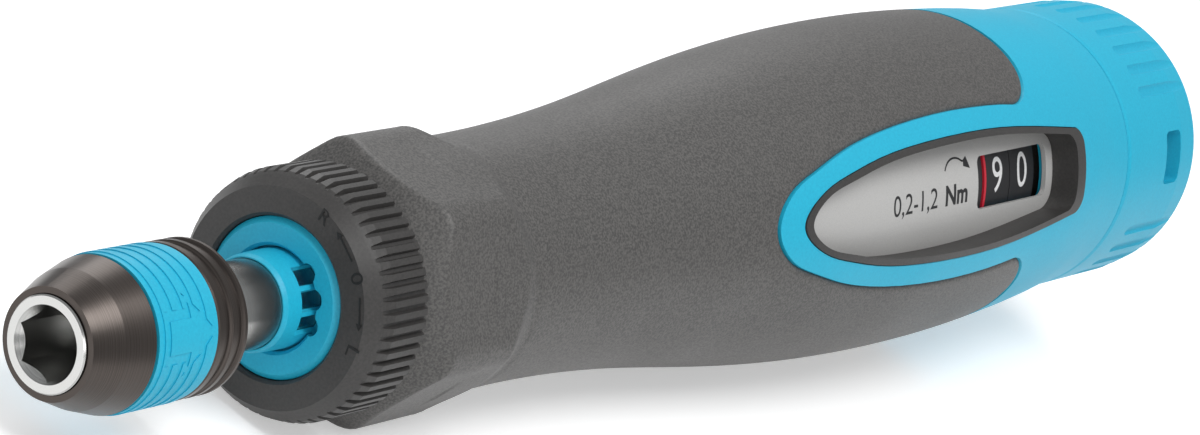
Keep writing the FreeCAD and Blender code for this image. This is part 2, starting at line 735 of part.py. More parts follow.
def torque_spring():
    """Strong coil spring that sets the slipping torque."""
    return coil(SPRING_X + 0.05, NUT_X - 0.05, TORQUE_COILS, TORQUE_COIL_R, TORQUE_WIRE_R)


def spring_nut():
    """Nut that the setting screw drives along the handle to load the spring."""
    return keyed(NUT_X, NUT_X + NUT_LEN, SCREW_R + RUNNING_GAP)


def setting_screw():
    """Long screw with a thrust flange, a rear journal and a hexagonal drive end."""
    rear = SCREW_FLANGE_X + SCREW_FLANGE_LEN
    drive_x = CAP_FRONT_X + 0.35 + SLEEVE_WEB + 0.2
    shank = turned([
        (SCREW_FRONT_X, 0),
        (SCREW_FRONT_X, SCREW_R - 0.8),
        (SCREW_FRONT_X + 0.8, SCREW_R),
        (SCREW_FLANGE_X, SCREW_R),
        (SCREW_FLANGE_X, SCREW_FLANGE_R),
        (rear, SCREW_FLANGE_R),
        (rear, REAR_JOURNAL_R),
        (drive_x, REAR_JOURNAL_R),
        (drive_x, 0),
    ])
    return joined([shank, hex_bar(drive_x - 1, CAP_FLOOR_X - 2.2, DRIVE_FLATS)])


# ---- counter ---------------------------------------------------------------------------------
def drum_station(place):
    """Front face of the first, second or third counter drum."""
    gaps = (0.0, 2 * DRUM_SPACE + COMMA_RING_LEN, 3 * DRUM_SPACE + COMMA_RING_LEN)
    return DRUM_FRONT_X + place * DRUM_LEN + gaps[place]


def drum(place):
    """Counter drum: rim, web and hub in one moulding."""
    x0 = drum_station(place)
    x1 = x0 + DRUM_LEN
    web = x0 + (DRUM_LEN - DRUM_WEB) / 2
    bore = SCREW_R + (0.02 if place == 2 else RUNNING_GAP)
    return turned([
        (x0, bore),
        (x0, DRUM_HUB_R),
        (web, DRUM_HUB_R),
        (web, DRUM_R - DRUM_RIM),
        (x0, DRUM_R - DRUM_RIM),
        (x0, DRUM_R),
        (x1, DRUM_R),
        (x1, DRUM_R - DRUM_RIM),
        (web + DRUM_WEB, DRUM_R - DRUM_RIM),
        (web + DRUM_WEB, DRUM_HUB_R),
        (x1, DRUM_HUB_R),
        (x1, bore),
    ])


def comma_ring():
    """Thin coloured ring that parts the whole number from the decimals."""
    x0 = drum_station(0) + DRUM_LEN + DRUM_SPACE
    return tube(x0, x0 + COMMA_RING_LEN, DRUM_BORE_R - 0.04, SCREW_R + 0.3)


def scale_plate():
    """Curved plate under the window with the slot for the digits."""
    shell = tube(WINDOW_TIP_X - 5, WINDOW_REAR_X + 5, PLATE_R, PLATE_SEAT_R + 0.02)
    return shell.common(window_prism()).cut(slot_prism())


def window_bezel():
    """Frame round the window that follows the curve of the grip."""
    ring = window_prism().cut(window_prism(BEZEL_RIM, BEZEL_REAR_RIM))
    ring = ring.common(grip_blank(-BEZEL_PROUD))
    return ring.cut(rod(WINDOW_TIP_X - 5, WINDOW_REAR_X + 5, PLATE_R + 0.02))


def rear_bush():
    """Bearing that closes the counter chamber and carries the screw's journal."""
    return tube(BUSH_FRONT_X, BUSH_REAR_X, DRUM_BORE_R - RUNNING_GAP, REAR_JOURNAL_R + RUNNING_GAP)


# ---- grip ------------------------------------------------------------------------------------
def handle_core():
    """Hard inner handle: bare at the window and the rear, bored for the mechanism."""
    inner = grip_blank(COVER_THICK, CORE_FRONT_X)
    span = BODY_REAR_X - COVER_REAR_X
    rear = Part.makeBox(span + 1, 60, 60, V(COVER_REAR_X, -30, -30))
    bare = grip_blank().common(joined([field_prism(), rear]))
    body = joined([inner, bare])
    keyway_end = NUT_X + NUT_LEN + SCREW_PITCH * TURNS_DOWN + 1.0
    chamber = turned([
        (CORE_FRONT_X - 1, 0),
        (CORE_FRONT_X - 1, JOURNAL_R + 0.08),
        (LIP_REAR_X, JOURNAL_R + 0.08),
        (LIP_REAR_X, CHAMBER_R),
        (DRUM_FRONT_X - 0.3, CHAMBER_R),
        (DRUM_FRONT_X - 0.3, DRUM_BORE_R),
        (BODY_REAR_X + 1, DRUM_BORE_R),
        (BODY_REAR_X + 1, 0),
    ])
    keyways = keys(LIP_REAR_X, keyway_end, KEY_WIDTH + 0.2, CHAMBER_R + KEY_HEIGHT)
    pocket = window_prism(-BEZEL_GAP).cut(rod(WINDOW_TIP_X - 5, WINDOW_REAR_X + 5, PLATE_SEAT_R))
    return body.cut([chamber, keyways, pocket, slot_prism(0.4)])


def grip_cover():
    """Soft cover moulded over the core, with the hexagonal collar at its front."""
    outside = joined([collar_blank(), grip_blank()])
    cavity = grip_blank(COVER_THICK - SKIN_GAP, CORE_FRONT_X - SKIN_GAP)
    mouth = rod(COLLAR_FRONT_X - 1, CORE_FRONT_X + 1, JOURNAL_R + 0.3)
    length = BODY_REAR_X - COVER_REAR_X + 2 * COVER_SEAM
    rear = Part.makeBox(length + 5, 60, 60, V(COVER_REAR_X - COVER_SEAM, -30, -30))
    return outside.cut([cavity, mouth, field_prism(COVER_SEAM), rear])


# ---- cap -------------------------------------------------------------------------------------
def indicator_sleeve():
    """Light cup inside the cap whose rim shows through the cap's window."""
    front = CAP_FRONT_X + 0.35
    return turned([
        (front, REAR_JOURNAL_R + 0.02),
        (front + SLEEVE_WEB, REAR_JOURNAL_R + 0.02),
        (front + SLEEVE_WEB, SLEEVE_TUBE_R - SLEEVE_TUBE_WALL),
        (CAP_FLOOR_X - 0.5, SLEEVE_TUBE_R - SLEEVE_TUBE_WALL),
        (CAP_FLOOR_X - 0.5, SLEEVE_TUBE_R),
        (front, SLEEVE_TUBE_R),
    ])


def cap_flutes():
    """Finger grooves round the cap that run out over its rear edge."""
    depth_r = CAP_FRONT_R - FLUTE_DEPTH + FLUTE_R
    flutes = []
    for k in range(int(360 / FLUTE_STEP)):
        phi = FLUTE_PHI + FLUTE_STEP * k
        if BARE_SECTOR[0] < phi < BARE_SECTOR[1]:
            continue
        start = at_phi(FLUTE_FRONT_X, depth_r, phi)
        end = Part.makeSphere(FLUTE_R, start)
        flutes.append(Part.makeCylinder(FLUTE_R, CAP_REAR_X - FLUTE_FRONT_X + 1, start, AXIS).fuse(end))
    return flutes


def adjusting_cap():
    """Rear cap that turns the setting screw and slides back to unlock it."""
    shell = turned([
        (CAP_FRONT_X, CAP_BORE_R),
        (CAP_FRONT_X, CAP_FRONT_R - 0.6),
        (CAP_FRONT_X + 0.25, CAP_FRONT_R - 0.15),
        (CAP_FRONT_X + 0.8, CAP_FRONT_R),
        (CAP_REAR_X - 5.0, CAP_FRONT_R),
        (CAP_REAR_X - CAP_EDGE, CAP_REAR_R),
        (CAP_REAR_X - 0.27 * CAP_EDGE, CAP_REAR_R - 0.27 * CAP_EDGE),
        (CAP_REAR_X, CAP_REAR_R - CAP_EDGE),
        (CAP_REAR_X, 0),
        (CAP_FLOOR_X, 0),
        (CAP_FLOOR_X, CAP_BORE_R),
    ])
    boss = rod(CAP_FRONT_X + 3.6, CAP_FLOOR_X + 0.5, CAP_BOSS_R)
    drive = hex_bar(CAP_FRONT_X + 3, CAP_FLOOR_X, DRIVE_FLATS + 0.16)
    x0, x1 = CAP_WINDOW_X
    high = at_phi(0, CAP_FRONT_R, CAP_WINDOW_PHI[0]).z
    low = at_phi(0, CAP_FRONT_R, CAP_WINDOW_PHI[1]).z
    window = Part.makeBox(x1 - x0, CAP_WALL + 3, high - low, V(x0, -CAP_FRONT_R - 1, low))
    window = window.makeFillet(0.8, [e for e in window.Edges if abs(e.tangentAt(e.FirstParameter).y) > 0.9])
    return joined([shell, boss]).cut([drive, window] + cap_flutes())


# ---- whole tool ------------------------------------------------------------------------------
def all_pieces():
    """Every piece of the tool in its own frame, by name."""
    return {
        "drive_spindle": drive_spindle(),
        "chuck_sleeve": chuck_sleeve(),
        "chuck_band": chuck_band(),
        "spring_clip": spring_clip(),
        "sleeve_spring": sleeve_spring(),
        "detent_ball": detent_ball(),
        "rear_clip": rear_clip(),
        "hub_ring": hub_ring(),
        "ratchet_housing": ratchet_housing(),
        "pawl_right": pawl(),
        "pawl_left": lifted_pawl(),
        "pawl_pins": pawl_pins(),
        "direction_ring": direction_ring(),
        "clutch_disc": clutch_disc(),
        "clutch_balls": clutch_balls(),
        "follower_disc": follower_disc(),
        "thrust_washer": thrust_washer(),
        "torque_spring": torque_spring(),
        "spring_nut": spring_nut(),
        "setting_screw": setting_screw(),
        "drum_units": drum(0),
        "drum_tenths": drum(1),
        "drum_hundredths": drum(2),
        "comma_ring": comma_ring(),
        "scale_plate": scale_plate(),
        "window_bezel": window_bezel(),
        "rear_bush": rear_bush(),
        "handle_core": handle_core(),
        "grip_cover": grip_cover(),
        "indicator_sleeve": indicator_sleeve(),
        "adjusting_cap": adjusting_cap(),
    }


def resting_tilt():
    """Angle between the tool axis and the table when belly and collar both touch it."""
    edge = grip_edge()
    first, last = edge.ParameterRange
    best = 0.0
    for k in range(401):
        point = edge.valueAt(first + (last - first) * k / 400)
        best = max(best, math.atan2(point.z - COLLAR_FLATS / 2, point.x - COLLAR_EDGE_X))
    return math.degrees(best)


def laid_down(pieces):
    """Roll and tilt the tool to its rest and put the origin under its middle."""
    tilt = resting_tilt()
    for shape in pieces.values():
        shape.rotate(ORIGIN, AXIS, REST_ROLL)
        shape.rotate(ORIGIN, V(0, 1, 0), -tilt)
    box = Part.makeCompound(list(pieces.values())).optimalBoundingBox(False)
    shift = V(-(box.XMin + box.XMax) / 2, -(box.YMin + box.YMax) / 2, -box.ZMin)
    for shape in pieces.values():
        shape.translate(shift)
    print("roll", REST_ROLL, "tilt", round(tilt, 6), "shift", [round(c, 6) for c in shift])
    return pieces


def main():
    os.makedirs("parts", exist_ok=True)
    for name, shape in laid_down(all_pieces()).items():
        shape.exportStep("parts/" + name + ".step")


main()
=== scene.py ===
"""Looks of a torque screwdriver: camera, light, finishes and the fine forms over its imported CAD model."""

import json
import logging
import math
from dataclasses import dataclass
from enum import Enum

import bmesh
import bpy
import numpy as np
from mathutils import Matrix, Vector


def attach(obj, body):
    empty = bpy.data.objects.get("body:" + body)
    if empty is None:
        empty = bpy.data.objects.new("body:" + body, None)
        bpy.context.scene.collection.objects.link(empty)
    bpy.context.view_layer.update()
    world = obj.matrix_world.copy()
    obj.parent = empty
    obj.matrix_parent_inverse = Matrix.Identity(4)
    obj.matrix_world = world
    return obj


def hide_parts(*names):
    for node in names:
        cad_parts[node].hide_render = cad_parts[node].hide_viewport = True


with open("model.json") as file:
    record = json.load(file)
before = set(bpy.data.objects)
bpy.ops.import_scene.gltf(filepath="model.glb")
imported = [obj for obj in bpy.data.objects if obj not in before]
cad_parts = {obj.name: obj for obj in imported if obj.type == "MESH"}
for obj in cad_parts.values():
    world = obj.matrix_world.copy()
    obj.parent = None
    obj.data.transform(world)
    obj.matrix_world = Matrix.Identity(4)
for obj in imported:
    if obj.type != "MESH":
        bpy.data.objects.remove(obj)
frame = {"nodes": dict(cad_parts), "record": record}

LOG = logging.getLogger("torque_screwdriver")
MM = 0.001
MERGE_MM = 1e-4
MARK_HALF_MM = 0.02  # half the thickness of printed and engraved marks
MARK_STEP_MM = 0.4  # a bent mark is cut this often so that it follows the curve
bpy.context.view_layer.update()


# ---- the tool's own frame --------------------------------------------------------------------
class ToolFrame:
    """Turns places in the tool's own frame, in millimetres, into the frame of the model, in metres."""

    DOWN_PHI = 210.0  # the angle about the axis that faces the table

    def __init__(self, record: dict) -> None:
        """Reads the axis from the bit socket's mount.

        Args:
            record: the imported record.
        """
        socket = next(m for m in record["mounts"] if m["name"] == "bit_socket")
        self.axis = -Vector(socket["axis"]).normalized()
        self.origin = Vector(socket["pos_m"])
        down = Vector((self.axis.z, 0.0, -self.axis.x)).normalized()
        side = self.axis.cross(down)
        turn = math.radians(-self.DOWN_PHI)
        self.up = down * math.cos(turn) + side * math.sin(turn)
        turn = math.radians(90.0 - self.DOWN_PHI)
        self.front = down * math.cos(turn) + side * math.sin(turn)
        self.matrix = Matrix.Identity(4)
        for row in range(3):
            self.matrix[row][0] = self.axis[row] * MM
            self.matrix[row][1] = -self.front[row] * MM
            self.matrix[row][2] = self.up[row] * MM
            self.matrix[row][3] = self.origin[row]

    def direction(self, vector: tuple[float, float, float]) -> Vector:
        """A direction of the tool's frame in the model's frame."""
        return self.axis * vector[0] - self.front * vector[1] + self.up * vector[2]


TOOL = ToolFrame(frame["record"])


def polar(x: np.ndarray, radius: np.ndarray, phi_deg: np.ndarray) -> np.ndarray:
    """Points from stations along the axis, radii and angles about it.

    Args:
        x: stations in millimetres.
        radius: distances from the axis in millimetres.
        phi_deg: angles from straight up towards the window side, in degrees.

    Returns:
        An array with a last axis of three coordinates.
    """
    phi = np.radians(phi_deg)
    x, radius, phi = np.broadcast_arrays(x, radius, phi)
    return np.stack([x, -radius * np.sin(phi), radius * np.cos(phi)], axis=-1)


def grid_faces(rows: int, columns: int, start: int = 0) -> list:
    """Quads of a sheet of points laid out in rows.

    Args:
        rows: number of rows.
        columns: number of points in a row.
        start: index of the first point.

    Returns:
        A list of four-cornered faces.
    """
    faces = []
    for i in range(rows - 1):
        below, above = start + i * columns, start + (i + 1) * columns
        faces += [(below + j, below + j + 1, above + j + 1, above + j) for j in range(columns - 1)]
    return faces


def make_mesh(name: str, points: np.ndarray, faces: list, sharp_deg: float = 35.0) -> bpy.types.Mesh:
    """Clean, outward-facing mesh in the model's frame from points in the tool's frame.

    Args:
        name: name of the mesh.
        points: vertices in millimetres.
        faces: lists of vertex numbers.
        sharp_deg: edges that bend more than this stay sharp.

    Returns:
        The mesh.
    """
    mesh = bpy.data.meshes.new(name)
    mesh.from_pydata([tuple(p) for p in np.asarray(points).reshape(-1, 3)], [], faces)
    return finish_mesh(mesh, sharp_deg)


def finish_mesh(mesh: bpy.types.Mesh, sharp_deg: float = 35.0) -> bpy.types.Mesh:
    """Merges doubles, points the faces outwards and lays the mesh down in the model's frame.

    Args:
        mesh: mesh in the tool's frame, in millimetres.
        sharp_deg: edges that bend more than this stay sharp.

    Returns:
        The same mesh, in metres.
    """
    work = bmesh.new()
    work.from_mesh(mesh)
    bmesh.ops.remove_doubles(work, verts=work.verts, dist=MERGE_MM)
    bmesh.ops.dissolve_degenerate(work, dist=MERGE_MM / 10, edges=work.edges)
    bmesh.ops.recalc_face_normals(work, faces=work.faces)
    work.to_mesh(mesh)
    work.free()
    mesh.transform(TOOL.matrix)
    mesh.shade_smooth()
    mesh.set_sharp_from_angle(angle=math.radians(sharp_deg))
    return mesh


def add_piece(
    mesh: bpy.types.Mesh, material: bpy.types.Material, body: str, slot: str, *nodes: str
) -> bpy.types.Object:
    """Places a finished mesh as a piece of the object.

    Args:
        mesh: mesh in the model's frame.
        material: its finish.
        body: the CAD body it rides on.
        slot: the record's material slot; not used.
        nodes: the CAD nodes that it stands for.

    Returns:
        The new object.
    """
    piece = bpy.data.objects.new(mesh.name, mesh)
    bpy.context.scene.collection.objects.link(piece)
    mesh.materials.clear()
    mesh.materials.append(material)
    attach(piece, body)
    if nodes:
        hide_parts(*nodes)
    LOG.info("%s: %d faces on %s", mesh.name, len(mesh.polygons), body)
    return piece


# ---- finishes --------------------------------------------------------------------------------
def linear(hex_colour: str) -> tuple[float, float, float, float]:
    """Linear colour of an sRGB hex value."""
    channels = [int(hex_colour[i:i + 2], 16) / 255.0 for i in (1, 3, 5)]
    curve = [c / 12.92 if c <= 0.04045 else ((c + 0.055) / 1.055) ** 2.4 for c in channels]
    return (*curve, 1.0)


def add_node(tree: bpy.types.NodeTree, kind: str, inputs: dict | None = None, **settings) -> bpy.types.Node:
    """Adds a node with its settings, and links or sets its inputs.

    Args:
        tree: the node tree.
        kind: the node's type name.
        inputs: sockets or values by input name or number.
        settings: properties of the node.

    Returns:
        The new node.
    """
    node = tree.nodes.new(kind)
    for key, value in settings.items():
        setattr(node, key, value)
    for key, value in (inputs or {}).items():
        if isinstance(value, bpy.types.NodeSocket):
            tree.links.new(value, node.inputs[key])
        else:
            node.inputs[key].default_value = value
    return node


class Grain(Enum):
    """How a surface was made, which sets its fine pattern."""

    MOULDED = "moulded"
    ERODED = "spark-eroded"
    TURNED = "turned"
    PRINTED = "printed"


@dataclass(frozen=True)
class Finish:
    """One procedural finish."""

    name: str
    colour: str
    second: str
    roughness: float
    metallic: float = 0.0
    grain: Grain = Grain.MOULDED
    grain_mm: float = 0.25
    bump_mm: float = 0.01
    ior: float = 1.46

    def build(self) -> bpy.types.Material:
        """The finish as a node material.

        Returns:
            The material.
        """
        material = bpy.data.materials.new(self.name)
        material.use_nodes = True
        tree = material.node_tree
        tree.nodes.clear()
        place = add_node(tree, "ShaderNodeTexCoord").outputs["Object"]
        fine = self.fine_pattern(tree, place)
        cloud = add_node(tree, "ShaderNodeTexNoise", {"Vector": place, "Scale": 60.0, "Detail": 3.0})
        spread = {Grain.ERODED: (0.38, 0.62), Grain.TURNED: (0.25, 0.75)}.get(self.grain, (0.30, 0.70))
        span = {"Value": fine, "From Min": spread[0], "From Max": spread[1]}
        levels = add_node(tree, "ShaderNodeMapRange", span)
        tones = {0: levels.outputs[0], 6: linear(self.colour), 7: linear(self.second)}
        colour = add_node(tree, "ShaderNodeMix", tones, data_type="RGBA")
        rough = add_node(
            tree,
            "ShaderNodeMapRange",
            {"Value": cloud.outputs[0], "From Min": 0.3, "From Max": 0.7,
             "To Min": self.roughness - 0.04, "To Max": self.roughness + 0.04},
        )
        bump = add_node(tree, "ShaderNodeBump", {"Height": fine, "Distance": self.bump_mm * MM, "Strength": 1.0})
        shader = add_node(
            tree,
            "ShaderNodeBsdfPrincipled",
            {"Base Color": colour.outputs[2], "Roughness": rough.outputs[0],
             "Normal": bump.outputs[0], "Metallic": self.metallic},
        )
        if self.metallic < 0.5:
            shader.inputs["IOR"].default_value = self.ior
        add_node(tree, "ShaderNodeOutputMaterial", {"Surface": shader.outputs[0]})
        return material

    def fine_pattern(self, tree: bpy.types.NodeTree, place: bpy.types.NodeSocket) -> bpy.types.NodeSocket:
        """The grain as a grey value on object coordinates."""
        if self.grain is Grain.TURNED:
            along = add_node(
                tree, "ShaderNodeVectorMath", {0: place, 1: tuple(TOOL.axis)}, operation="DOT_PRODUCT"
            ).outputs["Value"]
            lines = add_node(
                tree, "ShaderNodeTexNoise",
                {"W": along, "Scale": 1.0 / (self.grain_mm * MM), "Detail": 3.0}, noise_dimensions="1D",
            )
            return lines.outputs[0]
        scale = 1.0 / (self.grain_mm * MM)
        return add_node(tree, "ShaderNodeTexNoise", {"Vector": place, "Scale": scale, "Detail": 2.0}).outputs[0]


@dataclass(frozen=True)
class Palette:
    """Every finish of the tool."""

    # turned and brushed steel: bright, with fine rings round the axis
    bright_steel: Finish = Finish("turned_steel", "#c9c9c7", "#a9a9a7", 0.24, 1.0, Grain.TURNED, 0.12, 0.002)
    # drawn spring wire: duller grey steel
    spring_steel: Finish = Finish("drawn_spring_steel", "#8a8a8c", "#77777a", 0.35, 1.0, Grain.TURNED, 0.2, 0.002)
    # blackened turned steel: black-brown, satin, with a soft sheen
    black_metal: Finish = Finish("blackened_steel", "#57504c", "#433e3b", 0.34, 0.85, Grain.TURNED, 0.10, 0.002)
    # moulded polyamide in cyan blue: matt with a faint grain
    blue_plastic: Finish = Finish("moulded_polyamide_blue", "#20b6d6", "#1cacce", 0.50, 0.0, Grain.MOULDED, 0.3, 0.004)
    # moulded dark grey plastic for the frame and the direction ring
    dark_plastic: Finish = Finish("moulded_abs_dark", "#403e3d", "#353433", 0.48, 0.0, Grain.MOULDED, 0.3, 0.006)
    # soft thermoplastic cover moulded in a spark-eroded tool: speckled charcoal
    grip_rubber: Finish = Finish("eroded_elastomer_charcoal", "#454443", "#5f5d5b", 0.52, 0.0, Grain.ERODED, 0.26, 0.018, 1.5)
    # turned brass: warm yellow with fine rings
    brass: Finish = Finish("turned_brass", "#b9985a", "#a5864b", 0.32, 1.0, Grain.TURNED, 0.2, 0.002)
    # matt black counter drums
    drum_black: Finish = Finish("moulded_acetal_black", "#2c2c2e", "#252527", 0.5, 0.0, Grain.MOULDED, 0.3, 0.003)
    # moulded red plastic: an even satin red
    red_plastic: Finish = Finish("moulded_abs_red", "#d8283c", "#c82236", 0.45, 0.0, Grain.MOULDED, 0.3, 0.003)
    # anodised aluminium plate, finely matted
    silver_plate: Finish = Finish("anodised_aluminium_plate", "#cbcac8", "#c1c0be", 0.55, 0.25, Grain.MOULDED, 0.15, 0.002)
    # moulded pale grey plastic of the indicator sleeve
    light_plastic: Finish = Finish("moulded_abs_light", "#cfd0cf", "#c4c5c4", 0.5, 0.0, Grain.MOULDED, 0.3, 0.003)
    # pad-printed inks: flat and matt, black on the plate and white on the drums
    print_black: Finish = Finish("printed_ink_black", "#222224", "#1c1c1e", 0.55, 0.0, Grain.PRINTED, 0.2, 0.001)
    print_white: Finish = Finish("printed_ink_white", "#ececec", "#e2e2e2", 0.55, 0.0, Grain.PRINTED, 0.2, 0.001)
    # engraved marks, dark because light does not reach their floor
    groove_black: Finish = Finish("engraved_mark_black", "#1a1a1a", "#141414", 0.6, 0.0, Grain.PRINTED, 0.2, 0.001)

    def build(self) -> dict[str, bpy.types.Material]:
        """All materials by the name of their slot."""
        return {name: getattr(self, name).build() for name in self.__dataclass_fields__}


# ---- curves of the grip ----------------------------------------------------------------------
def smooth_curve(stations: tuple, start_slope: float, end_slope: float, places: np.ndarray) -> np.ndarray:
    """Cubic spline with fixed slopes at its ends.

    Args:
        stations: (position, value) pairs.
        start_slope: slope at the first station.
        end_slope: slope at the last station.
        places: positions to work out.

    Returns:
        The values there.
    """
    x = np.array([s[0] for s in stations])
    y = np.array([s[1] for s in stations])
    h = np.diff(x)
    n = len(x)
    matrix = np.zeros((n, n))
    right = np.zeros(n)
    matrix[0, 0] = matrix[-1, -1] = 1.0
    right[0], right[-1] = start_slope, end_slope
    for i in range(1, n - 1):
        matrix[i, i - 1], matrix[i, i], matrix[i, i + 1] = 1 / h[i - 1], 2 / h[i - 1] + 2 / h[i], 1 / h[i]
        right[i] = 3 * ((y[i] - y[i - 1]) / h[i - 1] ** 2 + (y[i + 1] - y[i]) / h[i] ** 2)
    slope = np.linalg.solve(matrix, right)
    k = np.clip(np.searchsorted(x, places) - 1, 0, n - 2)
    t = (places - x[k]) / h[k]
    return (
        y[k] * (1 + 2 * t) * (1 - t) ** 2 + slope[k] * h[k] * t * (1 - t) ** 2
        + y[k + 1] * t * t * (3 - 2 * t) + slope[k + 1] * h[k] * t * t * (t - 1)
    )


def soft_min(a: np.ndarray, b: np.ndarray, width: float) -> np.ndarray:
    """Smaller of two surfaces, with the edge between them rounded over a width."""
    h = np.clip(0.5 + 0.5 * (b - a) / width, 0.0, 1.0)
    return b * (1 - h) + a * h - width * h * (1 - h) * 0.5


@dataclass
class Grip:
    """Dark soft cover with its hexagonal collar, and the blue handle inside it."""

    stations: tuple = (
        (66.0, 13.65), (79.0, 14.03), (95.0, 15.40), (111.0, 17.46), (127.0, 19.13),
        (151.0, 20.12), (167.0, 19.78), (183.0, 18.70), (190.65, 18.14),
    )
    collar_front: float = 44.35
    collar_flats: float = 27.5
    corner_r: float = 3.7
    front_edge: tuple = (46.44, 1.11)
    rear_edge: tuple = (61.4, 0.62)
    field_tip: float = 106.8
    field_sides: tuple = (
        (109.5, 3.7), (114.0, 5.6), (120.0, 7.4), (128.0, 8.9),
        (138.0, 9.8), (147.0, 10.05), (155.0, 9.85), (161.0, 9.4),
    )
    field_corner: float = 6.5
    cover_rear: float = 167.5
    body_rear: float = 190.65
    roll: float = 0.9
    bore: float = 8.6
    offsets: tuple = (0.0, 0.06, 0.15, 0.3, 0.5, 0.75, 1.0, 1.5, 2.2)
    half_columns: int = 62
    skin: float = 1.95
    face_depth: float = 1.1
    tip_run: float = 2.7

    def grip_radius(self, x: np.ndarray) -> np.ndarray:
        """Radius of the grip along the axis."""
        inside = smooth_curve(self.stations, 0.0, -0.075, np.clip(x, self.stations[0][0], self.body_rear))
        return np.where(x < self.stations[0][0], self.stations[0][1], inside)

    def hexagon(self, phi: np.ndarray) -> np.ndarray:
        """Polar radius of the rounded hexagon."""
        flat = self.collar_flats / 2
        turn = np.abs(phi % 60.0 - 30.0)
        straight = flat / np.cos(np.radians(turn))
        centre = (flat - self.corner_r) / math.cos(math.radians(30.0))
        away = np.radians(30.0 - turn)
        reach = np.maximum(self.corner_r ** 2 - (centre * np.sin(away)) ** 2, 0.0)
        arc = centre * np.cos(away) + np.sqrt(reach)
        meeting = math.degrees(math.atan((flat - self.corner_r) * math.tan(math.radians(30.0)) / flat))
        return np.where(turn > meeting, arc, straight)

    def outside(self, x: np.ndarray, phi: np.ndarray) -> np.ndarray:
        """Radius of the outer surface with the collar."""
        flat = self.collar_flats / 2
        front = flat + self.front_edge[1] * (x - self.front_edge[0])
        rear = flat - self.rear_edge[1] * (x - self.rear_edge[0])
        collar = soft_min(soft_min(self.hexagon(phi), front, 0.5), rear, 0.6)
        grip = self.grip_radius(x)
        return np.where(x < 55.0, collar, -soft_min(-collar, -grip, 1.6))

    def field_width(self, x: np.ndarray) -> np.ndarray:
        """Half width of the bare field, widening at the cover's rear corners."""
        first = self.field_sides[0]
        tip = first[1] * np.sqrt(np.clip((x - self.field_tip) / (first[0] - self.field_tip), 0.0, 1.0))
        sides = smooth_curve(self.field_sides, 0.66, -0.1, np.clip(x, first[0], self.field_sides[-1][0]))
        corner_x = self.field_sides[-1][0]
        run = np.clip(x - corner_x, 0.0, self.field_corner)
        flare = self.field_corner - np.sqrt(self.field_corner ** 2 - run ** 2)
        return np.where(x < first[0], tip, sides + flare)

    def cover_rows(self) -> np.ndarray:
        """Stations of the cover, close together where the form turns."""
        front = np.arange(self.collar_front, 66.0, 0.3)
        middle = np.arange(66.0, self.field_tip - 2.0, 1.2)
        before_tip = self.field_tip - np.array(self.offsets[::-1])
        after_tip = self.field_tip + self.tip_run * np.linspace(0.0, 1.0, 15)[1:] ** 2
        sides = np.arange(110.2, self.cover_rear - 4.0, 0.9)
        rear = self.cover_rear - np.array((3.2, 2.6, 2.0, 1.5, 1.1, 0.75, 0.5, 0.3, 0.15, 0.06, 0.0))
        return np.concatenate([front, middle, before_tip, after_tip, sides, rear])

    def edge_line(self) -> np.ndarray:
        """Boundary of the cover in flattened coordinates, for distances to it."""
        tip = self.field_tip + self.tip_run * np.linspace(0, 1, 20) ** 2
        x = np.concatenate([tip, np.linspace(109.6, self.cover_rear, 150)])
        width = self.field_width(x)
        radius = self.grip_radius(x)
        arc = radius * np.arcsin(np.clip(width / radius, 0, 1))
        line = np.stack([x, arc], axis=-1)
        rear = np.stack([np.full(80, self.cover_rear), np.linspace(arc[-1], 64.0, 80)], axis=-1)
        return np.concatenate([line, rear])

    def distance(self, x: np.ndarray, arc: np.ndarray) -> np.ndarray:
        """Distance of flattened points to the cover's boundary."""
        line = self.edge_line()
        start, step = line[:-1], np.diff(line, axis=0)
        length = np.maximum((step ** 2).sum(axis=1), 1e-12)
        flat = np.stack([x.ravel(), arc.ravel()], axis=-1)
        best = np.full(len(flat), 1e9)
        for a, d, size in zip(start, step, length):
            t = np.clip(((flat - a) @ d) / size, 0.0, 1.0)
            best = np.minimum(best, np.linalg.norm(flat - a - t[:, None] * d, axis=1))
        return best.reshape(x.shape)

    def cover_mesh(self) -> bpy.types.Mesh:
        """Closed shell of the cover, its edges rolled down to the blue handle."""
        rows = self.cover_rows()
        width = np.where(rows > self.field_tip, self.field_width(rows), 0.0)
        radius = self.grip_radius(rows)
        opening = np.degrees(np.arcsin(np.clip(width / radius, 0, 1)))
        near = np.array(self.offsets)[None, :] / radius[:, None] * 180.0 / math.pi + opening[:, None]
        rest = np.linspace(0.0, 1.0, self.half_columns + 1)[1:]
        far = near[:, -1:] + (180.0 - near[:, -1:]) * rest[None, :]
        angles = np.concatenate([near, far], axis=1)
        angles = np.concatenate([angles, 360.0 - angles[:, -2::-1]], axis=1)
        phi = 90.0 + angles
        x = np.repeat(rows[:, None], phi.shape[1], axis=1)
        arc = np.radians(np.minimum(angles, 360.0 - angles)) * radius[:, None]
        away = np.clip(self.distance(x, arc), 0.0, self.roll)
        away = np.where(x < self.field_tip - self.offsets[-1] - 1.0, self.roll, away)
        drop = self.roll - np.sqrt(self.roll ** 2 - (self.roll - away) ** 2)
        top = polar(x, self.outside(x, phi) - drop, phi)
        inner_x = np.clip(x, self.collar_front + self.face_depth, None)
        inner_r = np.where(x < self.collar_front + 1.0, self.bore, self.grip_radius(x) - self.skin)
        inner_x = np.where(x < self.collar_front + 0.01, self.collar_front, inner_x)
        bottom = polar(inner_x, inner_r, phi)
        count, columns = x.shape
        points = np.concatenate([top.reshape(-1, 3), bottom.reshape(-1, 3)])
        size = count * columns  # number of points in one skin
        faces = grid_faces(count, columns) + [f[::-1] for f in grid_faces(count, columns, start=size)]
        for i in range(count - 1):
            if rows[i] >= self.field_tip:
                a, b = i * columns, (i + 1) * columns
                faces.append((a, b, size + b, size + a))
                faces.append((a + columns - 1, size + a + columns - 1, size + b + columns - 1, b + columns - 1))
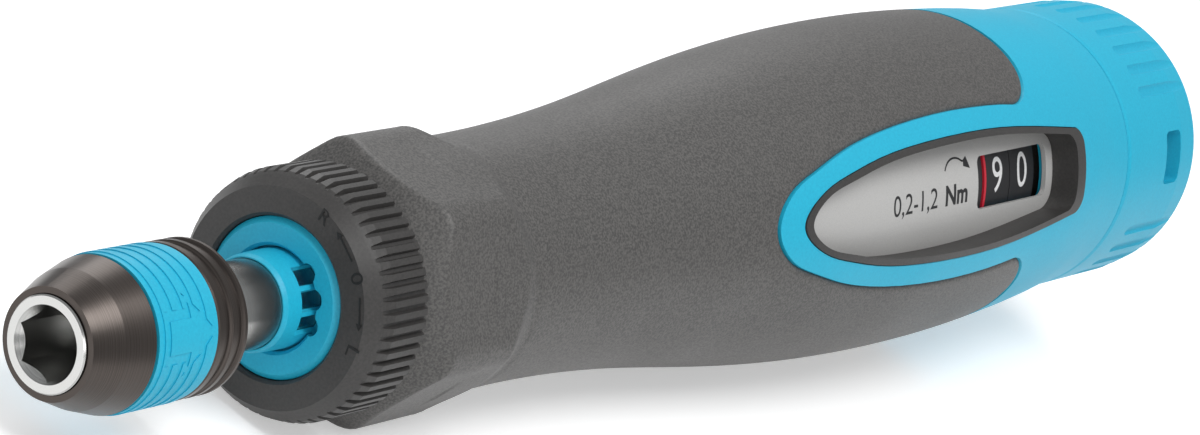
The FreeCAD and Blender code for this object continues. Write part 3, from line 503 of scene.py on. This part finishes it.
        for j in range(columns - 1):
            faces.append((j, size + j, size + j + 1, j + 1))
            last = (count - 1) * columns
            faces.append((last + j, last + j + 1, size + last + j + 1, size + last + j))
        return make_mesh("soft_cover", points, faces, 40.0)

    def build(self, finishes: dict) -> None:
        """Adds the cover."""
        add_piece(self.cover_mesh(), finishes["grip_rubber"], "handle", "grip_rubber", "grip_cover")


# ---- words and marks -------------------------------------------------------------------------
def flat_text(text: str, height: float, width: float, bold: float = 0.0) -> bpy.types.Mesh:
    """Extruded text as a mesh, centred, scaled to a height and a width.

    Args:
        text: the characters.
        height: height of the digits in millimetres.
        width: whole width in millimetres.
        bold: how far the outline is thickened, in the font's units.

    Returns:
        The mesh, flat in x and y and about 0.03 mm thick.
    """
    curve = bpy.data.curves.new("mark", "FONT")
    curve.body = text
    curve.extrude = MARK_HALF_MM
    curve.offset = bold
    curve.resolution_u = 6
    holder = bpy.data.objects.new("mark", curve)
    bpy.context.scene.collection.objects.link(holder)
    bpy.context.view_layer.update()
    mesh = bpy.data.meshes.new_from_object(holder.evaluated_get(bpy.context.evaluated_depsgraph_get()))
    bpy.data.objects.remove(holder)
    bpy.data.curves.remove(curve)
    points = np.array([v.co for v in mesh.vertices])
    low, high = points.min(0), points.max(0)
    tall = high[1] - low[1]
    mesh.transform(Matrix.Translation(-Vector((low + high) / 2)))
    mesh.transform(Matrix.Diagonal((width / (high[0] - low[0]), height / tall, 1.0, 1.0)))
    return mesh


def outline_mesh(outline: list) -> bpy.types.Mesh:
    """Thin plate from a closed outline, flat in x and y."""
    work = bmesh.new()
    low = [work.verts.new((x, y, -MARK_HALF_MM)) for x, y in outline]
    high = [work.verts.new((x, y, MARK_HALF_MM)) for x, y in outline]
    work.faces.new(high)
    work.faces.new(low[::-1])
    for i in range(len(outline)):
        k = (i + 1) % len(outline)
        work.faces.new((low[i], low[k], high[k], high[i]))
    mesh = bpy.data.meshes.new("mark")
    work.to_mesh(mesh)
    work.free()
    return mesh


def wrap(mesh: bpy.types.Mesh, x: float, phi: float, radius: float, lift: float = 0.01) -> bpy.types.Mesh:
    """Bends a flat mark round the axis: its x runs along the axis and its y up round it.

    Args:
        mesh: the flat mark in millimetres.
        x: station of its middle.
        phi: angle of its middle.
        radius: radius of the surface under it.
        lift: how far its top stands off.

    Returns:
        The mesh, still in the tool's frame.
    """
    work = bmesh.new()
    work.from_mesh(mesh)
    ys = [v.co.y for v in work.verts]
    for cut in np.arange(min(ys) + MARK_STEP_MM, max(ys), MARK_STEP_MM):
        geometry = work.verts[:] + work.edges[:] + work.faces[:]
        bmesh.ops.bisect_plane(work, geom=geometry, plane_co=(0, cut, 0), plane_no=(0, 1, 0), dist=1e-5)
    for v in work.verts:
        depth = radius + lift - MARK_HALF_MM + v.co.z
        turn = phi - math.degrees(v.co.y / radius)
        v.co = Vector(polar(np.array(x + v.co.x), np.array(depth), np.array(turn)))
    work.to_mesh(mesh)
    work.free()
    return mesh


def join_meshes(name: str, meshes: list) -> bpy.types.Mesh:
    """One mesh from several, laid down in the model's frame."""
    work = bmesh.new()
    for mesh in meshes:
        work.from_mesh(mesh)
        bpy.data.meshes.remove(mesh)
    joined = bpy.data.meshes.new(name)
    work.to_mesh(joined)
    work.free()
    return finish_mesh(joined)


@dataclass
class Counter:
    """Digits on the three drums and the print on the scale plate."""

    drum_r: float = 14.5
    plate_r: float = 15.9
    stations: tuple = (155.5, 162.5, 168.85)
    shown: tuple = (0, 9, 0)
    bodies: tuple = ("units", "tenths", "screw")
    digit_phi: float = 88.0
    digit_height: float = 4.4
    digit_width: float = 2.5
    one_share: float = 0.55  # the figure 1 is narrower than the others
    digit_step: float = 36.0

    def build(self, finishes: dict) -> None:
        """Adds the digits and the print."""
        for place in range(3):
            marks = []
            for digit in range(10):
                phi = self.digit_phi + self.digit_step * (digit - self.shown[place])
                width = self.digit_width * (self.one_share if digit == 1 else 1.0)
                shape = flat_text(str(digit), self.digit_height, width)
                marks.append(wrap(shape, self.stations[place], phi, self.drum_r))
            mesh = join_meshes(f"drum_digits_{self.bodies[place]}", marks)
            add_piece(mesh, finishes["print_white"], self.bodies[place], "light_plastic")
        arrow = [(2.0 + math.cos(t) * 2.9, 1.6 + math.sin(t) * 2.3) for t in np.linspace(2.75, 0.75, 12)]
        arrow += [(4.0, 2.6), (5.6, 2.2), (4.9, 3.75)]
        arrow += [(2.0 + math.cos(t) * 2.65, 1.6 + math.sin(t) * 2.05) for t in np.linspace(0.85, 2.75, 12)]
        marks = [
            wrap(flat_text("0,2-1,2", 2.9, 10.6), 139.6, 92.2, self.plate_r),
            wrap(flat_text("Nm", 2.5, 5.4, 0.03), 149.6, 91.6, self.plate_r),
            wrap(outline_mesh(arrow), 147.5, 89.5, self.plate_r),
        ]
        add_piece(join_meshes("plate_print", marks), finishes["print_black"], "handle", "black_metal")


@dataclass
class DirectionMarks:
    """R, 0 and L with two arrows, engraved in the face of the direction ring."""

    radius: float = 11.05
    face_x: float = 35.16
    height: float = 1.5
    lift: float = 0.05

    def on_face(self, mesh: bpy.types.Mesh, phi: float) -> bpy.types.Mesh:
        """Lays a flat mark on the front face, its top towards the edge."""
        for v in mesh.vertices:
            angle = phi + math.degrees(v.co.x / self.radius)
            depth = self.face_x - self.lift - v.co.z
            v.co = Vector(polar(np.array(depth), np.array(self.radius + v.co.y), np.array(angle)))
        return mesh

    def build(self, finishes: dict) -> None:
        """Adds the marks."""
        marks = [
            self.on_face(flat_text(letter, self.height, self.height * 0.8), phi)
            for letter, phi in (("R", 37.8), ("0", 75.0), ("L", 115.0))
        ]
        for side, phi in ((-1, 57.0), (1, 93.8)):
            half = 1.7
            line = [
                (side * -half, -0.09), (side * (half - 0.7), -0.09), (side * (half - 0.7), -0.42), (side * half, 0.0),
                (side * (half - 0.7), 0.42), (side * (half - 0.7), 0.09), (side * -half, 0.09),
            ]
            marks.append(self.on_face(outline_mesh(line if side > 0 else line[::-1]), phi))
        mesh = join_meshes("direction_marks", marks)
        add_piece(mesh, finishes["groove_black"], "selector", "dark_plastic")


# ---- studio ----------------------------------------------------------------------------------
@dataclass
class Studio:
    """Camera, lamps and floor."""

    lens: float = 135.0
    place_mm: tuple = (-322.13, -272.68, 67.44)
    right: tuple = (0.54657, -0.83741, 0.0)
    down: tuple = (-0.10968, -0.07159, -0.99139)
    forward: tuple = (0.83020, 0.54187, -0.13097)

    def camera(self) -> None:
        """Adds the camera."""
        data = bpy.data.cameras.new("camera")
        data.lens = self.lens
        data.sensor_width = 36.0
        data.clip_start = 0.01
        data.clip_end = 20.0
        camera = bpy.data.objects.new("camera", data)
        bpy.context.scene.collection.objects.link(camera)
        axes = [TOOL.direction(self.right), -TOOL.direction(self.down), -TOOL.direction(self.forward)]
        matrix = Matrix.Identity(4)
        for column, axis in enumerate(axes):
            axis.normalize()
            for row in range(3):
                matrix[row][column] = axis[row]
        matrix.translation = TOOL.matrix @ Vector(self.place_mm)
        camera.matrix_world = matrix
        bpy.context.scene.camera = camera

    def lamp(self, name: str, place: tuple, size: float, power: float) -> None:
        """Adds a square lamp that faces the tool."""
        data = bpy.data.lights.new(name, "AREA")
        data.size = size
        data.energy = power
        lamp = bpy.data.objects.new(name, data)
        bpy.context.scene.collection.objects.link(lamp)
        lamp.location = place
        lamp.rotation_euler = (-Vector(place)).to_track_quat("-Z", "Y").to_euler()

    def floor(self) -> None:
        """Adds the white floor, which keeps the tool's shadow."""
        mesh = bpy.data.meshes.new("floor")
        reach = 4.0
        corners = [(-reach, -reach, 0), (reach, -reach, 0), (reach, reach, 0), (-reach, reach, 0)]
        mesh.from_pydata(corners, [], [(0, 1, 2, 3)])
        floor = bpy.data.objects.new("floor", mesh)
        bpy.context.scene.collection.objects.link(floor)
        material = bpy.data.materials.new("white_paper_floor")
        material.use_nodes = True
        tree = material.node_tree
        tree.nodes.clear()
        rays = add_node(tree, "ShaderNodeLightPath")
        camera, glossy = rays.outputs["Is Camera Ray"], rays.outputs["Is Glossy Ray"]
        through = rays.outputs["Is Transmission Ray"]
        seen = add_node(tree, "ShaderNodeMath", {0: camera, 1: glossy}, operation="ADD")
        seen = add_node(tree, "ShaderNodeMath", {0: seen.outputs[0], 1: through}, operation="ADD", use_clamp=True)
        paper = add_node(tree, "ShaderNodeBsdfDiffuse", {"Color": linear("#e6e6e6")})
        glow = add_node(tree, "ShaderNodeEmission", {"Color": (1, 1, 1, 1), "Strength": 0.42})
        both = add_node(tree, "ShaderNodeAddShader", {0: paper.outputs[0], 1: glow.outputs[0]})
        mix = add_node(tree, "ShaderNodeMixShader", {0: seen.outputs[0], 1: paper.outputs[0], 2: both.outputs[0]})
        add_node(tree, "ShaderNodeOutputMaterial", {"Surface": mix.outputs[0]})
        mesh.materials.append(material)

    def world(self) -> None:
        """Pale even surroundings."""
        world = bpy.data.worlds.new("pale_room")
        world.use_nodes = True
        background = world.node_tree.nodes["Background"]
        background.inputs["Color"].default_value = linear("#f4f6f8")
        background.inputs["Strength"].default_value = 0.45
        bpy.context.scene.world = world

    def build(self) -> None:
        """Sets up the whole studio."""
        bpy.context.scene.view_settings.view_transform = "Standard"
        self.camera()
        self.floor()
        self.world()
        self.lamp("lamp_key", (-0.15, -0.30, 0.80), 0.45, 4.6)
        self.lamp("lamp_back", (0.35, 0.60, 0.55), 0.5, 2.5)
        self.lamp("lamp_front", (-0.75, -0.55, 0.25), 0.35, 1.2)


def dress_nodes(finishes: dict) -> None:
    """Gives every CAD node the finish of its slot."""
    for name, node in frame["nodes"].items():
        for place in node.material_slots:
            slot = place.material.name.split(".")[0]
            place.material = finishes[slot]
            LOG.info("%s: %s", name, slot)


def main() -> None:
    """Builds the tool's looks in order."""
    logging.basicConfig(level=logging.INFO, format="%(message)s")
    finishes = Palette().build()
    dress_nodes(finishes)
    Grip().build(finishes)
    Counter().build(finishes)
    DirectionMarks().build(finishes)
    Studio().build()


if __name__ == "__main__":
    main()
